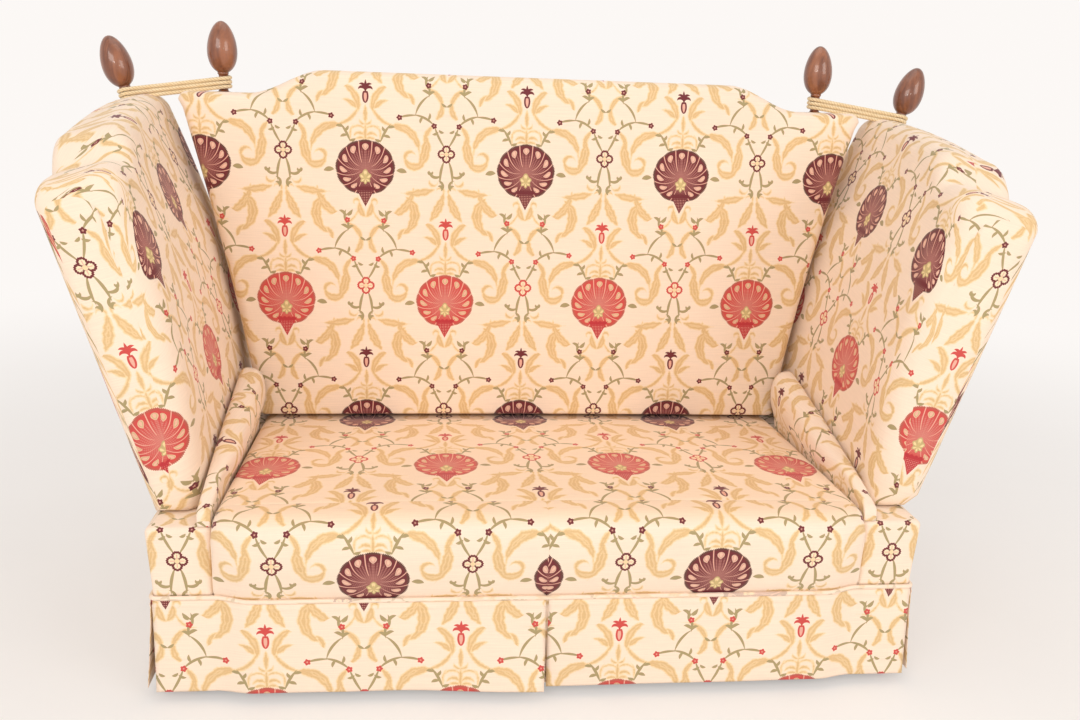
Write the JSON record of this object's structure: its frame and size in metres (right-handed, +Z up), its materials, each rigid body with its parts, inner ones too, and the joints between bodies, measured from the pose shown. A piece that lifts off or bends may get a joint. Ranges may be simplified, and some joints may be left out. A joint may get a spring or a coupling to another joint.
{
  "type": "knole sofa",
  "caption": "Upholstered two-seat sofa with a high shouldered back and deep serpentine arms that drop outward on hinges, tied by rope to turned finials.",
  "frame": {"origin": "on the floor, under the middle of the sofa's width and depth", "axes": "+X to the right of someone who looks at the sofa's front, +Y to the back, +Z up"},
  "size_m": [1.8178, 0.7724, 1.192],
  "materials": {
    "upholstery": "woven furnishing cloth, cream ground with a carnation and leaf pattern in burgundy, coral, gold and olive",
    "piping": "piping covered in the same cloth",
    "rope": "soft twisted cord, cream",
    "polished_wood": "stained and polished hardwood, glossy mid brown",
    "frame_wood": "raw sawn hardwood",
    "hinge_steel": "plain steel hinge",
    "spring_steel": "zigzag spring wire",
    "dust_cloth": "thin black lining cloth"
  },
  "bodies": {
    "sofa": {"front_rail": "frame_wood", "back_rail": "frame_wood", "side_frame_left": "frame_wood", "side_frame_right": "frame_wood", "corner_block_front_left": "frame_wood", "corner_block_front_right": "frame_wood", "corner_block_back_left": "frame_wood", "corner_block_back_right": "frame_wood", "foot_front_left": "polished_wood", "foot_front_right": "polished_wood", "foot_back_left": "polished_wood", "foot_back_right": "polished_wood", "seat_spring_mat": "spring_steel", "dust_cover": "dust_cloth", "seat_cushion": "upholstery", "base_box_left": "upholstery", "base_box_right": "upholstery", "side_roll_left": "upholstery", "side_roll_right": "upholstery", "welt": "piping", "skirt_front_left": "upholstery", "skirt_front_right": "upholstery", "skirt_side_left": "upholstery", "skirt_side_right": "upholstery", "skirt_back": "upholstery", "pleat_centre": "upholstery", "pleat_front_left": "upholstery", "pleat_front_right": "upholstery", "back_post_left": "frame_wood", "back_post_right": "frame_wood", "back_lower_rail": "frame_wood", "back_top_rail": "frame_wood", "back_cushion": "upholstery", "outside_back": "upholstery", "back_finial_left": "polished_wood", "back_finial_right": "polished_wood", "hinge_box_leaf_left": "hinge_steel", "hinge_box_leaf_right": "hinge_steel", "hinge_pin_left": "hinge_steel", "hinge_pin_right": "hinge_steel", "rope_left": "rope", "rope_right": "rope"},
    "arm_left": {"arm_cushion_left": "upholstery", "outside_arm_left": "upholstery", "arm_foot_rail_left": "frame_wood", "arm_front_stile_left": "frame_wood", "arm_rear_stile_left": "frame_wood", "arm_top_rail_left": "frame_wood", "arm_finial_left": "polished_wood", "hinge_arm_leaf_left": "hinge_steel"},
    "arm_right": {"arm_cushion_right": "upholstery", "outside_arm_right": "upholstery", "arm_foot_rail_right": "frame_wood", "arm_front_stile_right": "frame_wood", "arm_rear_stile_right": "frame_wood", "arm_top_rail_right": "frame_wood", "arm_finial_right": "polished_wood", "hinge_arm_leaf_right": "hinge_steel"}
  },
  "joints": [
    {"name": "arm_drop_left", "type": "hinge", "parent": "sofa", "child": "arm_left", "pos_m": [-0.695, 0, 0.3298], "axis": [0, -1, 0], "range_deg": [-2, 60], "deforming": ["rope_left"]},
    {"name": "arm_drop_right", "type": "hinge", "parent": "sofa", "child": "arm_right", "pos_m": [0.695, 0, 0.3298], "axis": [0, 1, 0], "range_deg": [-2, 60], "deforming": ["rope_right"]}
  ]
}
